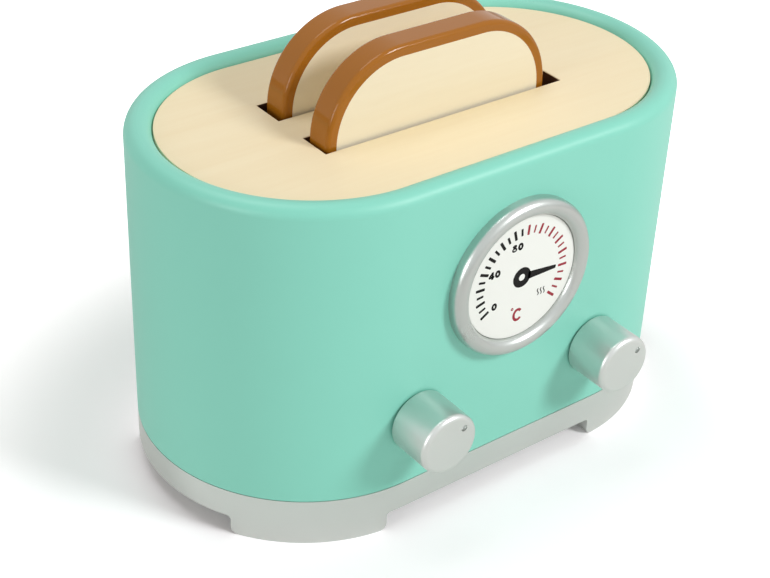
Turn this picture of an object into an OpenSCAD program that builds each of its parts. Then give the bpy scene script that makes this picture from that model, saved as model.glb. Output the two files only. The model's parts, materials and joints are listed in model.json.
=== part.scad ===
// Wooden play toaster with two slices that pop up on a sprung carriage.
// The origin is the centre of the body on the floor. +X runs along the length, towards the lever.
// The dial and the knobs are on the front, which faces -Y. Everything is drawn with the slices up.

/* [Body] */
// Length of the body, end to end
body_len = 200; // [190:1:215]
// Depth of the body, front to back
body_depth = 116.5; // [112:0.5:124]
// Height of the base, feet included
base_h = 17.4; // [15:0.2:20]
// Height of the rim's crown above the floor
rim_z = 126.7; // [124:0.1:136]
// Thickness of the wall at the rim
rim_wall = 9.2; // [9.2:0.1:10.2]
// Width of the ledge that carries the top panel
ledge_w = 3.8; // [3:0.1:5]
// Rounding of the rim's outer edge
rim_round = 4.2; // [2.4:0.2:4.2]
// Rounding of the rim's inner edge
rim_arris = 4.9; // [2:0.1:4.9]
// Chamfer on both edges of the seam between body and base
seam_chamfer = 0.5; // [0.3:0.1:1]

/* [Base] */
// Height of the gaps between the feet
foot_gap_h = 7; // [5:0.5:8]
// Length of a foot, from the body's end to the gap in front or behind
foot_len = 55; // [52:0.5:60]
// How far that gap lies to the right of the middle
foot_gap_shift = -3.3; // [-6:0.1:6]
// Width of the gap between the two feet at each end
foot_gap_end_w = 57; // [48:1:60]
// How far each gap reaches in from the edge
foot_gap_deep = 30; // [20:1:36]
// Rounding of a gap's upper corners
foot_gap_round = 2.5; // [1:0.5:4]
// Height of the plug that centres the base in the body
plug_h = 4.6; // [3:0.2:6]

/* [Top panel] */
// Thickness of the panel
panel_t = 9; // [7:0.5:10]
// Depth of the panel below the rim's crown
panel_drop = 2.5; // [2.2:0.1:6]
// Distance from a bread slot to each end of the body
slot_inset = 51.5; // [50.5:0.5:52.5]
// Width of a bread slot
slot_w = 12.8; // [12:0.1:14]
// Distance between the middles of the two slots
slot_pitch = 26.3; // [25:0.1:30]

/* [Slices] */
// How much narrower a slice is than its slot is long
slice_spare = 7.6; // [7:0.2:17]
// Height of a slice
slice_h = 80; // [74:1:84]
// Thickness of a slice
slice_t = 10.4; // [9:0.1:11]
// Radius of a slice's upper corners
slice_crown = 28.6; // [20:0.2:34]
// Radius of a slice's lower corners
slice_foot = 6; // [3:0.5:10]
// Rounding along a slice's edges
slice_arris = 1.5; // [0.6:0.1:2]
// How far a slice stands above the panel
slice_show = 28.9; // [25:0.1:29]
// How far the front slice lies to the right of the middle
slice_shift_front = -2.7; // [-3:0.1:3]
// How far the rear slice lies to the right of the middle
slice_shift_rear = -1.4; // [-3:0.1:3]

/* [Carriage] */
// Travel of the lever
travel = 32; // [30:0.5:34]
// Thickness of the carriage's tray
tray_t = 6; // [5:0.5:8]
// How far the tray reaches past the slots towards the lever
tray_past_right = 31.5; // [29.5:0.5:33.5]
// How far the tray reaches past the slots the other way
tray_past_left = 18.5; // [17.5:0.5:23.5]
// Radius of the tray's corners
tray_corner = 10; // [6:1:14]
// Height of the rails that hold the slices upright
rail_h = 8; // [6:0.5:10]
// How much shorter the rails are than the slots
rail_spare = 1; // [-1:0.5:17]
// Thickness of the outer rails
rail_t = 4; // [3:0.5:5]
// Play between a slice and its rails, on each side
slice_play = 0.45; // [0.3:0.05:0.6]

/* [Guides and springs] */
// Distance of each guide rod from the ends of the slots
rod_past = 8.5; // [7.5:0.5:11.5]
// Radius of a guide rod
rod_r = 3; // [2.5:0.1:3.2]
// Running clearance of a guide bush on its rod
bush_gap = 0.25; // [0.15:0.05:0.4]
// Wall of a guide bush
bush_wall = 3.25; // [2:0.25:3.5]
// Height of a guide bush above the tray
bush_h = 8; // [6:0.5:10]
// Width of the flange under a guide bush
flange_w = 1.5; // [1:0.25:1.75]
// Thickness of that flange
flange_t = 1.5; // [1:0.25:2]
// Height of a stop ring
ring_h = 6; // [4:0.5:8]
// Gap between a guide bush and the stop ring above it, slices up
ring_gap = 0.3; // [0.2:0.05:0.5]
// Depth of the rods' sockets in the base
rod_socket = 11.6; // [9:0.2:12]
// Depth of the rods' sockets in the panel
panel_socket = 4; // [3:0.5:5]
// Radius of a spring, to the middle of its wire
spring_r = 5.2; // [4.9:0.1:5.6]
// Radius of the spring wire
wire_r = 0.6; // [0.5:0.05:0.7]
// Number of turns in a spring
spring_turns = 7; // [5:1:9]

/* [Lever] */
// Width of the lever's arm
arm_w = 8; // [7:0.5:9]
// Height of the lever's arm
arm_h = 7; // [6:0.5:9]
// Room between the flange of the right bush and the end of the arm
arm_room = 1.5; // [1:0.5:3]
// Clearance round the arm in its slot
arm_gap = 0.5; // [0.4:0.1:1]
// Radius of the lever's knob
lever_r = 7.5; // [6:0.5:8]
// Length of the lever's knob
lever_len = 14; // [12:0.5:16]
// Gap between the body and the lever's knob
lever_gap = 1.3; // [1:0.1:3]
// Radius of the tenon that holds the lever's knob
tenon_r = 2.5; // [2:0.1:3]
// Length of that tenon
tenon_len = 9.5; // [7:0.5:11]

/* [Knobs] */
// Distance of each knob's middle from where the round end starts
knob_inset = 3.75; // [1.75:0.25:5.75]
// Height of the knobs' middles above the floor
knob_z = 42.3; // [40:0.1:44]
// Radius of a knob
knob_r = 10.8; // [9:0.1:11]
// Length of a knob, from the body's face to its own
knob_len = 17.2; // [14:0.2:20]
// Gap between a knob and the body
knob_gap = 0.5; // [0.3:0.1:1]
// Rounding of a knob's front edge
knob_round = 1.8; // [1:0.1:3]
// Distance of the marking dimple from a knob's middle
dimple_r = 7; // [5:0.1:7.2]
// Angle of that dimple above the horizontal
dimple_angle = 43; // [0:1:90]
// Radius of the dimple
dimple_size = 1.2; // [0.5:0.1:1.3]
// Radius of a knob's shaft
shaft_r = 4; // [3:0.1:5]
// Running clearance of the shaft in the body
shaft_gap = 0.1; // [0.05:0.01:0.2]
// Depth of the shaft's socket in the knob
shaft_socket = 10; // [8:0.5:12]
// Radius of the collar that keeps a shaft in
collar_r = 8; // [6.5:0.5:9]
// Thickness of that collar
collar_t = 6; // [4:0.5:7]
// Length of shaft that shows past the collar
shaft_tail = 1; // [0.5:0.5:2]

/* [Gauge] */
// Height of the gauge's middle above the floor
gauge_z = 83.9; // [82:0.1:86]
// Outer radius of the gauge's ring
bezel_r = 28.3; // [26:0.1:30]
// Width of the ring
bezel_w = 5.8; // [5:0.1:7]
// Height of the ring above the body's face
bezel_h = 4.8; // [4:0.1:6]
// Height of the ring's straight inner and outer edges
bezel_edge = 1.6; // [1:0.1:2]
// Gap between the ring and the dial
dial_gap = 0.1; // [0.05:0.05:0.3]
// Thickness of the dial
dial_t = 2.3; // [1.6:0.1:3]

/* [Fasteners] */
// Radius of a base screw's shank
screw_r = 1.75; // [1.5:0.05:2]
// Length of a base screw
screw_len = 27; // [24:1:32]
// Depth at which a base screw's head lies
screw_sink = 3; // [2:0.5:4]
// Radius of a lever screw's shank
lever_screw_r = 1.2; // [1:0.1:1.4]
// Length of a lever screw
lever_screw_len = 11; // [9:0.5:12]
// Distance between the two lever screws
lever_screw_pitch = 6; // [5.5:0.5:7]
// Glue gap between pieces that are pressed or glued together
glue_gap = 0.05; // [0.02:0.01:0.1]
// Gap round the panel and the base's plug
seat_gap = 0.1; // [0.05:0.05:0.3]

/* [Hidden] */
$fn = 96;
eps = 0.01;

mint = [0.62, 0.87, 0.80];
silver = [0.78, 0.80, 0.78];
birch = [0.95, 0.90, 0.78];
crust = [0.66, 0.43, 0.18];
dial_white = [0.96, 0.97, 0.94];
steel = [0.66, 0.67, 0.69];
black = [0.12, 0.12, 0.12];

end_r = body_depth / 2;
end_x = (body_len - body_depth) / 2;
front_y = -end_r;
panel_top = rim_z - panel_drop;
ledge_z = panel_top - panel_t;
panel_r = end_r - rim_wall;
inner_r = panel_r - ledge_w;
wall_t = end_r - inner_r;
plug_top = base_h + plug_h;
screw_ring = (end_r + inner_r) / 2;
screw_at = screw_ring * sqrt(1 / 2);

foot_gap_w = body_len - 2 * foot_len;
slot_len = body_len - 2 * slot_inset;

slice_w = slot_len - slice_spare;
slice_top = panel_top + slice_show;
tray_top = slice_top - slice_h;
tray_bottom = tray_top - tray_t;
rail_mid_w = slot_pitch - slice_t - 2 * slice_play;
rail_out_y = (slot_pitch + slice_t) / 2 + slice_play;
tray_half = rail_out_y + rail_t;
tray_right = slot_len / 2 + tray_past_right;
tray_left = slot_len / 2 + tray_past_left;
rail_len = slot_len - rail_spare;

rod_x = slot_len / 2 + rod_past;
bush_bore = rod_r + bush_gap;
bush_r = bush_bore + bush_wall;
ring_z = tray_top + bush_h + ring_gap;
spring_top = tray_bottom - flange_t;

arm_start = rod_x + bush_r + flange_w + arm_room;
arm_end = body_len / 2 + lever_gap;
arm_mid_z = tray_top + arm_h / 2;
lever_screw_head = 2 * lever_screw_r;
lever_screw_mid = (arm_start + tray_right) / 2;
base_screw_head = 2 * screw_r;
knob_x = end_x - knob_inset;

// Two half turns of a profile, one round each end of the body. The profile's X is the distance outwards.
module round_ends() {
  for (side = [-1, 1])
    translate([side * end_x, 0, 0])
      rotate([0, 0, -side * 90])
        rotate_extrude(angle = 180)
          children();
}

// The same profile along the straight front and back
module straight_sides() {
  for (side = [-1, 1])
    translate([-side * end_x, 0, 0])
      rotate([90, 0, side * 90])
        linear_extrude(2 * end_x)
          children();
}

// The racetrack outline that the body, the base and the panel share
module racetrack() {
  round_ends() children();
  straight_sides() children();
}

// What a rounding of radius r takes off the upper right corner at [x, y], or off the left one
module corner_waste(x, y, r, side = 1) {
  translate([x, y])
    mirror([side < 0 ? 1 : 0, 0])
      difference() {
        translate([-r, -r])
          square(r + 1);
        translate([-r, -r])
          circle(r);
      }
}

// What a chamfer takes off the corner at [x, y]
module chamfer_waste(x, y, c) {
  translate([x, y])
    rotate(45)
      square(c * sqrt(2), center = true);
}

// Stands things on the front face at [x, z], with their own Z pointing out of it
module on_front(x, z) {
  translate([x, front_y, z])
    rotate([90, 0, 0])
      children();
}

// Section through the wall of the body, with the ledge for the panel
module wall_section() {
  difference() {
    union() {
      translate([inner_r, base_h])
        square([wall_t, ledge_z - base_h]);
      translate([panel_r, ledge_z])
        square([rim_wall, rim_z - ledge_z]);
    }
    corner_waste(end_r, rim_z, rim_round);
    corner_waste(panel_r, rim_z, rim_arris, -1);
    chamfer_waste(end_r, base_h, seam_chamfer);
  }
}

module body_shell() {
  arm_low = tray_top - travel - arm_gap;
  arm_high = tray_top + arm_h + arm_gap;
  color(mint)
    difference() {
      racetrack()
        wall_section();
      for (side = [-1, 1])
        on_front(side * knob_x, knob_z)
          translate([0, 0, -wall_t - 1])
            cylinder(r = shaft_r + shaft_gap, h = wall_t + 2);
      translate([end_x, -arm_w / 2 - arm_gap, arm_low])
        cube([body_len, arm_w + 2 * arm_gap, arm_high - arm_low]);
      base_screw_places()
        cylinder(r = screw_r + glue_gap, h = screw_sink + screw_len + 1);
    }
}

module base_screw_places() {
  for (x = [-1, 1])
    for (y = [-1, 1])
      translate([x * (end_x + screw_at), y * screw_at, 0])
        children();
}

// Opening between two feet, seen from outside: w wide, with rounded upper corners
module foot_gap(w) {
  rotate([90, 0, 0])
    linear_extrude(foot_gap_deep + end_r)
      difference() {
        translate([-w / 2, -1])
          square([w, foot_gap_h + 1]);
        corner_waste(w / 2, foot_gap_h, foot_gap_round);
        corner_waste(-w / 2, foot_gap_h, foot_gap_round, -1);
      }
}

module base() {
  color(silver)
    difference() {
      union() {
        racetrack()
          difference() {
            square([end_r, base_h]);
            chamfer_waste(end_r, base_h, seam_chamfer);
          }
        racetrack()
          translate([0, base_h])
            square([inner_r - seat_gap, plug_h]);
      }
      for (turn = [0, 180])
        rotate(turn)
          translate([turn == 0 ? foot_gap_shift : -foot_gap_shift, -end_r + foot_gap_deep, 0])
            foot_gap(foot_gap_w);
      for (turn = [90, -90])
        rotate(turn)
          translate([0, -body_len / 2 + foot_gap_deep, 0])
            foot_gap(foot_gap_end_w);
      for (side = [-1, 1])
        translate([side * rod_x, 0, plug_top - rod_socket])
          cylinder(r = rod_r + glue_gap, h = rod_socket + 1);
      base_screw_places() {
        translate([0, 0, -1])
          cylinder(r = base_screw_head + glue_gap, h = screw_sink + 1);
        translate([0, 0, screw_sink - eps])
          cylinder(r1 = base_screw_head + glue_gap, r2 = screw_r + glue_gap, h = screw_r);
        cylinder(r = screw_r + glue_gap, h = base_h + 1);
      }
    }
}

// Countersunk wood screw, with its head's face at the origin and its point upwards
module wood_screw(r, length) {
  cylinder(r1 = 2 * r, r2 = r, h = r);
  translate([0, 0, r - eps])
    cylinder(r = r, h = length - 3 * r + 2 * eps);
  translate([0, 0, length - 2 * r])
    cylinder(r1 = r, r2 = r / 5, h = 2 * r);
}

module base_screws() {
  color(steel)
    base_screw_places()
      translate([0, 0, screw_sink])
        wood_screw(screw_r, screw_len);
}

module top_panel() {
  color(birch)
    difference() {
      racetrack()
        translate([0, ledge_z])
          square([panel_r - seat_gap, panel_t]);
      for (side = [-1, 1])
        translate([-slot_len / 2, side * slot_pitch / 2 - slot_w / 2, ledge_z - 1])
          cube([slot_len, slot_w, panel_t + 2]);
      for (side = [-1, 1])
        translate([side * rod_x, 0, ledge_z - 1])
          cylinder(r = rod_r + glue_gap, h = panel_socket + 1);
    }
}

// Ring with a rounded crown between two low straight edges
module gauge_bezel() {
  crown = bezel_h - bezel_edge;
  color(silver)
    on_front(0, gauge_z)
      rotate_extrude()
        difference() {
          translate([bezel_r - bezel_w, 0])
            square([bezel_w, bezel_h]);
          corner_waste(bezel_r, bezel_h, min(crown, bezel_w / 2 - eps));
          corner_waste(bezel_r - bezel_w, bezel_h, min(crown, bezel_w / 2 - eps), -1);
        }
}

module gauge_dial() {
  color(dial_white)
    on_front(0, gauge_z)
      cylinder(r = bezel_r - bezel_w - dial_gap, h = dial_t);
}

module guide_rod(side) {
  foot = plug_top - rod_socket + glue_gap;
  color(steel)
    translate([side * rod_x, 0, foot])
      cylinder(r = rod_r, h = ledge_z + panel_socket - glue_gap - foot);
}

module stop_ring(side) {
  color(black)
    translate([side * rod_x, 0, ring_z])
      difference() {
        cylinder(r = bush_r, h = ring_h);
        translate([0, 0, -1])
          cylinder(r = rod_r + glue_gap, h = ring_h + 2);
      }
}

// Compression spring round a rod: one wire of wire_sides faces, wire_rings rings to the turn
wire_sides = 6;
wire_rings = 14;
spring_rings = spring_turns * wire_rings;
spring_rise = spring_top - plug_top - 2 * wire_r;
function wire_point(i, j) =
  let (turn = 360 * i / wire_rings, around = 360 * j / wire_sides, out = spring_r + wire_r * cos(around))
  [out * cos(turn), out * sin(turn), spring_rise * i / spring_rings + wire_r * sin(around)];

module spring(side) {
  points = [for (i = [0:spring_rings]) for (j = [0:wire_sides - 1]) wire_point(i, j)];
  first = [for (j = [0:wire_sides - 1]) wire_sides - 1 - j];
  last = [for (j = [0:wire_sides - 1]) spring_rings * wire_sides + j];
  lower = [for (i = [0:spring_rings - 1]) for (j = [0:wire_sides - 1]) let (k = (j + 1) % wire_sides)
    [i * wire_sides + j, i * wire_sides + k, (i + 1) * wire_sides + k]];
  upper = [for (i = [0:spring_rings - 1]) for (j = [0:wire_sides - 1]) let (k = (j + 1) % wire_sides)
    [i * wire_sides + j, (i + 1) * wire_sides + k, (i + 1) * wire_sides + j]];
  color(steel)
    translate([side * rod_x, 0, plug_top + wire_r])
      polyhedron(points, concat([first, last], lower, upper));
}

// Plywood plate under both slices, with round corners
module tray() {
  length = tray_left + tray_right;
  color(birch)
    difference() {
      translate([(tray_right - tray_left) / 2, 0, tray_bottom])
        linear_extrude(tray_t)
          difference() {
            square([length, 2 * tray_half], center = true);
            for (end = [0, 180])
              rotate(end) {
                corner_waste(length / 2, tray_half, tray_corner);
                corner_waste(-length / 2, tray_half, tray_corner, -1);
              }
          }
      for (side = [-1, 1])
        translate([side * rod_x, 0, tray_bottom - 1])
          cylinder(r = bush_r + glue_gap, h = tray_t + 2);
      lever_screw_places() {
        cylinder(r = lever_screw_r + glue_gap, h = tray_t + 1);
        translate([0, 0, -eps])
          cylinder(r1 = lever_screw_head + glue_gap, r2 = lever_screw_r + glue_gap, h = lever_screw_r);
      }
    }
}

module lever_screw_places() {
  for (side = [-1, 1])
    translate([lever_screw_mid + side * lever_screw_pitch / 2, 0, tray_bottom])
      children();
}

// Rail on the tray from y to y + w
module rail(y, w) {
  color(birch)
    translate([-rail_len / 2, y, tray_top])
      cube([rail_len, w, rail_h]);
}

// Plastic bush through the tray, with a flange for the spring to push on
module guide_bush(side) {
  color(dial_white)
    translate([side * rod_x, 0, tray_bottom])
      difference() {
        union() {
          cylinder(r = bush_r, h = tray_t + bush_h);
          translate([0, 0, -flange_t])
            cylinder(r = bush_r + flange_w, h = flange_t);
        }
        translate([0, 0, -flange_t - 1])
          cylinder(r = bush_bore, h = flange_t + tray_t + bush_h + 2);
      }
}

// Square arm that leaves the body through its slot, with a round tenon for the knob
module lever_arm() {
  color(birch)
    difference() {
      union() {
        translate([arm_start, -arm_w / 2, tray_top])
          cube([arm_end - arm_start, arm_w, arm_h]);
        translate([arm_end - eps, 0, arm_mid_z])
          rotate([0, 90, 0])
            cylinder(r = tenon_r, h = tenon_len);
      }
      lever_screw_places()
        cylinder(r = lever_screw_r + glue_gap, h = lever_screw_len + glue_gap);
    }
}

module lever_knob() {
  dome = lever_len / 2;
  color(silver)
    translate([arm_end + glue_gap, 0, arm_mid_z])
      rotate([0, 90, 0])
        difference() {
          rotate_extrude()
            difference() {
              square([lever_r, lever_len]);
              corner_waste(lever_r, lever_len, min(dome, lever_r - eps));
            }
          translate([0, 0, -1])
            cylinder(r = tenon_r + glue_gap, h = tenon_len + glue_gap + 1);
        }
}

module lever_screws() {
  color(steel)
    lever_screw_places()
      wood_screw(lever_screw_r, lever_screw_len);
}

// A corner of a slice: a disc across its thickness, with its edges rounded
module slice_corner(x, z, r) {
  translate([x, slice_t / 2, z])
    rotate([90, 0, 0])
      rotate_extrude($fn = 64)
        difference() {
          square([r, slice_t]);
          corner_waste(r, slice_t, slice_arris, $fn = 16);
          translate([0, slice_t])
            mirror([0, 1])
              corner_waste(r, slice_t, slice_arris, $fn = 16);
        }
}

// One slice of toast on its edge, with its middle at [x, y]
module slice(x, y) {
  crown_x = slice_w / 2 - slice_crown;
  foot_x = slice_w / 2 - slice_foot;
  color(crust)
    translate([x, y, tray_top])
      hull()
        for (side = [-1, 1]) {
          slice_corner(side * crown_x, slice_h - slice_crown, slice_crown);
          slice_corner(side * foot_x, slice_foot, slice_foot);
        }
}

// Turned knob with a socket for its shaft and a dimple that marks its position
module knob(side) {
  color(silver)
    on_front(side * knob_x, knob_z)
      difference() {
        translate([0, 0, knob_gap])
          rotate_extrude()
            difference() {
              square([knob_r, knob_len - knob_gap]);
              corner_waste(knob_r, knob_len - knob_gap, knob_round);
            }
        translate([0, 0, knob_gap - 1])
          cylinder(r = shaft_r + glue_gap, h = shaft_socket + 1);
        rotate(dimple_angle)
          translate([dimple_r, 0, knob_len])
            sphere(dimple_size);
      }
}

module knob_shaft(side) {
  inside = wall_t + knob_gap + collar_t + shaft_tail;
  color(birch)
    on_front(side * knob_x, knob_z)
      translate([0, 0, -inside])
        cylinder(r = shaft_r, h = inside + knob_gap + shaft_socket - glue_gap);
}

module knob_collar(side) {
  color(birch)
    on_front(side * knob_x, knob_z)
      translate([0, 0, -wall_t - knob_gap - collar_t])
        difference() {
          cylinder(r = collar_r, h = collar_t);
          translate([0, 0, -1])
            cylinder(r = shaft_r + glue_gap, h = collar_t + 2);
        }
}

body_shell();
base();
top_panel();
base_screws();
gauge_bezel();
gauge_dial();
guide_rod(-1);  // guide_rod_left
guide_rod(1);  // guide_rod_right
stop_ring(-1);  // stop_ring_left
stop_ring(1);  // stop_ring_right
spring(-1);  // spring_left
spring(1);  // spring_right
tray();
rail(-tray_half, rail_t);  // rail_front
rail(-rail_mid_w / 2, rail_mid_w);  // rail_middle
rail(rail_out_y, rail_t);  // rail_rear
guide_bush(-1);  // guide_bush_left
guide_bush(1);  // guide_bush_right
lever_arm();
lever_knob();
lever_screws();
slice(slice_shift_front, -slot_pitch / 2);  // slice_front
slice(slice_shift_rear, slot_pitch / 2);  // slice_rear
knob(-1);  // knob_left
knob_shaft(-1);  // knob_left_shaft
knob_collar(-1);  // knob_left_collar
knob(1);  // knob_right
knob_shaft(1);  // knob_right_shaft
knob_collar(1);  // knob_right_collar
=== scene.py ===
"""Looks of a wooden play toaster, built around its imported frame."""

import json
import math

import bmesh
import bpy
from mathutils import Matrix, Vector


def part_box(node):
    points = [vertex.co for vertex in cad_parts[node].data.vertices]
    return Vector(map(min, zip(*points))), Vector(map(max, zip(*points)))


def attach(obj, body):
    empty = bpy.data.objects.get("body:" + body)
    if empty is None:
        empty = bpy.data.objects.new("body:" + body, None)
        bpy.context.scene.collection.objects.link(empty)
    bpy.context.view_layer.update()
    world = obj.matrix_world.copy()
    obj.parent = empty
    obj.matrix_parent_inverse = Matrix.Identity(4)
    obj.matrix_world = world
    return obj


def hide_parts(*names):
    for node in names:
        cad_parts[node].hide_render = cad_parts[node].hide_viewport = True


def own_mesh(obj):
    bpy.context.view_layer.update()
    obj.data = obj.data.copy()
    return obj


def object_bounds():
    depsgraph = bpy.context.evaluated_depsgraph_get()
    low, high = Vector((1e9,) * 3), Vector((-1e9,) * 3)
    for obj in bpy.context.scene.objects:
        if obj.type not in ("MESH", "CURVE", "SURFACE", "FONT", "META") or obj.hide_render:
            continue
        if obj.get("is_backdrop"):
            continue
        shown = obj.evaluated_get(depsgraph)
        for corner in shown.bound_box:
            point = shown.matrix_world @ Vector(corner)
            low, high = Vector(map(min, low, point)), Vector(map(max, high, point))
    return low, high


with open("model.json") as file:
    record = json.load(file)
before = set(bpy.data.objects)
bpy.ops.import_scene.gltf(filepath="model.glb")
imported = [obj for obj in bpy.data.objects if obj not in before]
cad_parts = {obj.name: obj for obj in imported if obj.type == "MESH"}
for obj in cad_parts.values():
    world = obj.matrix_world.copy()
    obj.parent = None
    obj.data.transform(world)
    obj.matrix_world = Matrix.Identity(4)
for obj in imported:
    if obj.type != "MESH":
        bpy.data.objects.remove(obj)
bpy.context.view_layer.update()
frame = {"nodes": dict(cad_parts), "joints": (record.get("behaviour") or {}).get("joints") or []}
scene = bpy.context.scene
scene.view_settings.view_transform = "Standard"
MM = 0.001


# ---- Camera ----
# It stands where the photographer stood: in front of the left end, looking down at about 32 degrees
# with a long lens. The toy's left end is nearer, and the camera leans by about 3 degrees.
view_azimuth = math.radians(-38.906)
view_elevation = math.radians(32.087)
view_lean = math.radians(2.943)
view_distance = 568.4 * MM
aim = Vector((0, 0, 60 * MM))

back = Vector(
    (
        math.sin(view_azimuth) * math.cos(view_elevation),
        -math.cos(view_azimuth) * math.cos(view_elevation),
        math.sin(view_elevation),
    )
)
level_right = Vector((math.cos(view_azimuth), math.sin(view_azimuth), 0))
level_up = back.cross(level_right)
right = level_right * math.cos(view_lean) + level_up * math.sin(view_lean)
up = back.cross(right)
bpy.ops.object.camera_add()
camera = bpy.context.object
camera_turn = Matrix((right, up, back)).transposed().to_4x4()
camera.matrix_world = Matrix.Translation(aim + back * view_distance) @ camera_turn
camera.data.sensor_width = 36
camera.data.lens = 75.38
camera.data.shift_x = -0.0247
camera.data.shift_y = -0.0424
camera.data.clip_start = 0.01
scene.camera = camera


# ---- Studio: light, floor and air ----
# A white sweep in a pale room. The key lamp stands in front to the right, at about 36 degrees, so that
# the knobs and the ring throw soft shadows to their lower left. Weaker ones hang overhead and stand to
# the left, where one draws thin highlights on the toast's glossy edges.
lamp_aim = Vector((0, 0, 0.05))


def soft_lamp(name, place, size, watts):
    bpy.ops.object.light_add(type="AREA", location=place)
    lamp = bpy.context.object
    lamp.name = name
    lamp.data.shape = "DISK"
    lamp.data.size = size
    lamp.data.energy = watts
    lamp.rotation_euler = (lamp_aim - Vector(place)).to_track_quat("-Z", "Y").to_euler()


soft_lamp("key_lamp", (0.59, -1.02, 0.90), 0.42, 11.3)
soft_lamp("fill_lamp", (-1.30, -0.25, 0.42), 0.5, 3.8)
soft_lamp("overhead_lamp", (-0.15, 0.35, 1.30), 0.7, 4.0)

# The air lights the toy with a weak warm tone, and is plain white where it is seen or mirrored
air_warm = (1, 0.95, 0.89, 1)
white = (1, 1, 1, 1)
air_lit_strength = 0.38
air_seen_strength = 1.0

air = bpy.data.worlds.new("studio_air")
scene.world = air
air.use_nodes = True
air_nodes = air.node_tree.nodes
air_links = air.node_tree.links
background = air_nodes["Background"]
air_tint = air_nodes.new("ShaderNodeMix")
air_tint.data_type = "RGBA"
air_tint.inputs["A"].default_value = air_warm
air_tint.inputs["B"].default_value = white
air_links.new(air_tint.outputs["Result"], background.inputs["Color"])
seen = air_nodes.new("ShaderNodeLightPath")
seen_or_mirrored = air_nodes.new("ShaderNodeMath")
seen_or_mirrored.operation = "MAXIMUM"
seen_anyhow = air_nodes.new("ShaderNodeMath")
seen_anyhow.operation = "MAXIMUM"
air_strength = air_nodes.new("ShaderNodeMapRange")
air_strength.inputs["To Min"].default_value = air_lit_strength
air_strength.inputs["To Max"].default_value = air_seen_strength
air_links.new(seen.outputs["Is Camera Ray"], seen_or_mirrored.inputs[0])
air_links.new(seen.outputs["Is Glossy Ray"], seen_or_mirrored.inputs[1])
air_links.new(seen_or_mirrored.outputs[0], seen_anyhow.inputs[0])
air_links.new(seen.outputs["Is Transmission Ray"], seen_anyhow.inputs[1])
air_links.new(seen_anyhow.outputs[0], air_strength.inputs["Value"])
air_links.new(air_strength.outputs["Result"], background.inputs["Strength"])
air_links.new(seen_anyhow.outputs[0], air_tint.inputs["Factor"])

# Away from the toy the floor glows for the camera alone, so it stays white round a soft shadow
floor_width = 12
floor_lit = (0.93, 0.92, 0.915, 1)
floor_to_camera = (1.14, 1.13, 1.16, 1)
glow_middle = (-0.02, -0.025, 0)
glow_starts = 0.11
glow_full = 0.20
glow_strength = 0.6

bpy.ops.mesh.primitive_plane_add(size=floor_width)
floor = bpy.context.object
floor.name = "studio_floor"
floor_paint = bpy.data.materials.new("white_sweep")
floor_paint.use_nodes = True
floor_nodes = floor_paint.node_tree.nodes
floor_shader = floor_nodes["Principled BSDF"]
floor_links = floor_paint.node_tree.links
floor_seen = floor_nodes.new("ShaderNodeLightPath")
floor_tone = floor_nodes.new("ShaderNodeMix")
floor_tone.data_type = "RGBA"
floor_tone.inputs["A"].default_value = floor_lit
floor_tone.inputs["B"].default_value = floor_to_camera
floor_links.new(floor_seen.outputs["Is Camera Ray"], floor_tone.inputs["Factor"])
floor_links.new(floor_tone.outputs["Result"], floor_shader.inputs["Base Color"])
floor_where = floor_nodes.new("ShaderNodeTexCoord")
floor_distance = floor_nodes.new("ShaderNodeVectorMath")
floor_distance.operation = "DISTANCE"
floor_distance.inputs[1].default_value = glow_middle
floor_fade = floor_nodes.new("ShaderNodeMapRange")
floor_fade.interpolation_type = "SMOOTHSTEP"
floor_fade.inputs["From Min"].default_value = glow_starts
floor_fade.inputs["From Max"].default_value = glow_full
floor_fade.inputs["To Max"].default_value = glow_strength
floor_glow = floor_nodes.new("ShaderNodeMath")
floor_glow.operation = "MULTIPLY"
floor_links.new(floor_where.outputs["Object"], floor_distance.inputs[0])
floor_links.new(floor_distance.outputs["Value"], floor_fade.inputs["Value"])
floor_links.new(floor_fade.outputs["Result"], floor_glow.inputs[0])
floor_links.new(floor_seen.outputs["Is Camera Ray"], floor_glow.inputs[1])
floor_shader.inputs["Emission Color"].default_value = white
floor_links.new(floor_glow.outputs[0], floor_shader.inputs["Emission Strength"])
floor_shader.inputs["Roughness"].default_value = 0.9
floor_shader.inputs["Specular IOR Level"].default_value = 0.1
floor.data.materials.append(floor_paint)
floor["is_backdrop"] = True


# ---- Body ----
# One thick ring of wood with round ends, milled hollow, its rim rounded over and a ledge cut inside
# for the top panel. It is sprayed with satin mint paint. The lever's slot is cut through the right end
# and the knobs' bores through the front wall.
body_low, body_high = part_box("body_shell")
panel_low, panel_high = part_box("top_panel")
end_r = (body_high.y - body_low.y) / 2
end_x = (body_high.x - body_low.x) / 2 - end_r
rim_wall = 9.2 * MM
ledge_w = 3.8 * MM
rim_round = 4.2 * MM
rim_arris = 4.9 * MM
seam_chamfer = 0.5 * MM
wall_t = rim_wall + ledge_w
body_turns = 192


def take_up(obj):
    """Makes obj the only selected and the active object."""
    bpy.ops.object.select_all(action="DESELECT")
    obj.select_set(True)
    bpy.context.view_layer.objects.active = obj


def pick(obj, kind, wanted):
    """In edit mode, selects only the vertices, edges or faces for which wanted(element) is true."""
    bpy.ops.mesh.select_mode(type=kind)
    bpy.ops.mesh.select_all(action="DESELECT")
    mesh = bmesh.from_edit_mesh(obj.data)
    for element in {"VERT": mesh.verts, "EDGE": mesh.edges, "FACE": mesh.faces}[kind]:
        if wanted(element):
            element.select = True
    mesh.select_flush_mode()
    bmesh.update_edit_mesh(obj.data)


def at(value, target, slack=0.02 * MM):
    return abs(value - target) < slack


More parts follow.
